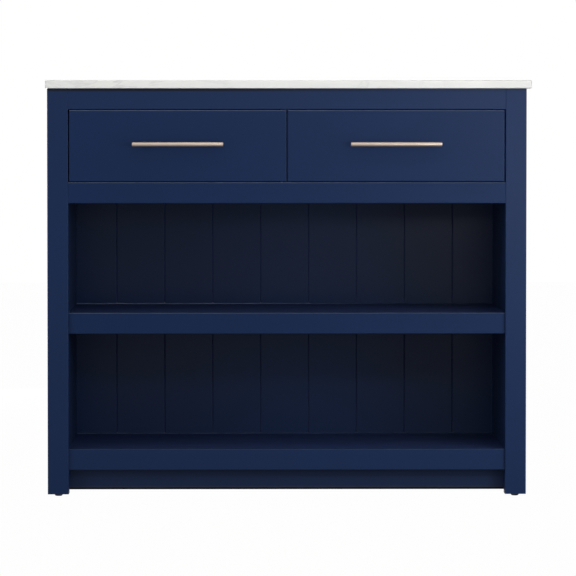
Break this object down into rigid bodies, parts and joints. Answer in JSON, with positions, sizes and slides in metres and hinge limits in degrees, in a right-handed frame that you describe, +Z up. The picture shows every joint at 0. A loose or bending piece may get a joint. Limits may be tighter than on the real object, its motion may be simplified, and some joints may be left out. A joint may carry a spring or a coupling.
{
  "type": "kitchen island cart",
  "caption": "Free-standing kitchen island: painted cabinet on corner posts, inset drawers with bar pulls on ball-bearing runners, open shelves, V-grooved back and pale stone top.",
  "frame": {"origin": "on the floor, under the middle of the object's bounding box (pulls included)", "axes": "+X to the right as seen from the front, -Y towards the user (drawer fronts), +Z up"},
  "size_m": [1.067, 0.533, 0.915],
  "materials": {
    "paint": "satin navy paint on wood",
    "stone": "honed off-white stone with faint grey veins",
    "birch": "clear-lacquered birch",
    "pull_metal": "satin champagne plating, slightly rose",
    "runner_steel": "zinc-plated pressed steel",
    "screw_steel": "zinc-plated",
    "glide_nylon": "dark moulded nylon"
  },
  "bodies": {
    "cabinet": {"worktop": "stone", "front_left_post": "paint", "front_right_post": "paint", "back_left_post": "paint", "back_right_post": "paint", "top_rail": "paint", "drawer_rail": "paint", "shelf_nosing": "paint", "bottom_nosing": "paint", "back_top_rail": "paint", "back_bottom_rail": "paint", "left_top_side_rail": "paint", "left_bottom_side_rail": "paint", "right_top_side_rail": "paint", "right_bottom_side_rail": "paint", "left_side_panel": "paint", "right_side_panel": "paint", "back_panel": "paint", "shelf_board": "paint", "bottom_board": "paint", "dust_panel": "paint", "toe_board": "paint", "drawer_divider": "birch", "corner_blocks": "birch", "corner_screws": "screw_steel", "frame_dowels": "birch", "glides": "glide_nylon", "runner_screws": "screw_steel", "left_cabinet_rails": "runner_steel", "right_cabinet_rails": "runner_steel"},
    "left_drawer": {"left_drawer_front": "paint", "left_box_front": "birch", "left_box_back": "birch", "left_box_left_side": "birch", "left_box_right_side": "birch", "left_box_bottom": "birch", "left_pull_bar": "pull_metal", "left_pull_posts": "pull_metal", "left_drawer_screws": "screw_steel", "left_drawer_rails": "runner_steel"},
    "left_middle_rails": {"left_middle_rails": "runner_steel"},
    "left_outer_cages": {"left_outer_cages": "runner_steel"},
    "left_inner_cages": {"left_inner_cages": "runner_steel"},
    "right_drawer": {"right_drawer_front": "paint", "right_box_front": "birch", "right_box_back": "birch", "right_box_left_side": "birch", "right_box_right_side": "birch", "right_box_bottom": "birch", "right_pull_bar": "pull_metal", "right_pull_posts": "pull_metal", "right_drawer_screws": "screw_steel", "right_drawer_rails": "runner_steel"},
    "right_middle_rails": {"right_middle_rails": "runner_steel"},
    "right_outer_cages": {"right_outer_cages": "runner_steel"},
    "right_inner_cages": {"right_inner_cages": "runner_steel"}
  },
  "joints": [
    {"name": "left_drawer_slide", "type": "slide", "parent": "cabinet", "child": "left_drawer", "axis": [0, -1, 0], "range_m": [0, 0.39]},
    {"name": "left_middle_rails_slide", "type": "slide", "parent": "cabinet", "child": "left_middle_rails", "axis": [0, -1, 0], "range_m": [0, 0.195]},
    {"name": "left_outer_cages_slide", "type": "slide", "parent": "cabinet", "child": "left_outer_cages", "axis": [0, -1, 0], "range_m": [0, 0.0975]},
    {"name": "left_inner_cages_slide", "type": "slide", "parent": "cabinet", "child": "left_inner_cages", "axis": [0, -1, 0], "range_m": [0, 0.2925]},
    {"name": "right_drawer_slide", "type": "slide", "parent": "cabinet", "child": "right_drawer", "axis": [0, -1, 0], "range_m": [0, 0.39]},
    {"name": "right_middle_rails_slide", "type": "slide", "parent": "cabinet", "child": "right_middle_rails", "axis": [0, -1, 0], "range_m": [0, 0.195]},
    {"name": "right_outer_cages_slide", "type": "slide", "parent": "cabinet", "child": "right_outer_cages", "axis": [0, -1, 0], "range_m": [0, 0.0975]},
    {"name": "right_inner_cages_slide", "type": "slide", "parent": "cabinet", "child": "right_inner_cages", "axis": [0, -1, 0], "range_m": [0, 0.2925]}
  ],
  "couplings": [
    {"joint": "left_middle_rails_slide", "follows": "left_drawer_slide", "ratio": 0.5},
    {"joint": "left_outer_cages_slide", "follows": "left_drawer_slide", "ratio": 0.25},
    {"joint": "left_inner_cages_slide", "follows": "left_drawer_slide", "ratio": 0.75},
    {"joint": "right_middle_rails_slide", "follows": "right_drawer_slide", "ratio": 0.5},
    {"joint": "right_outer_cages_slide", "follows": "right_drawer_slide", "ratio": 0.25},
    {"joint": "right_inner_cages_slide", "follows": "right_drawer_slide", "ratio": 0.75}
  ]
}
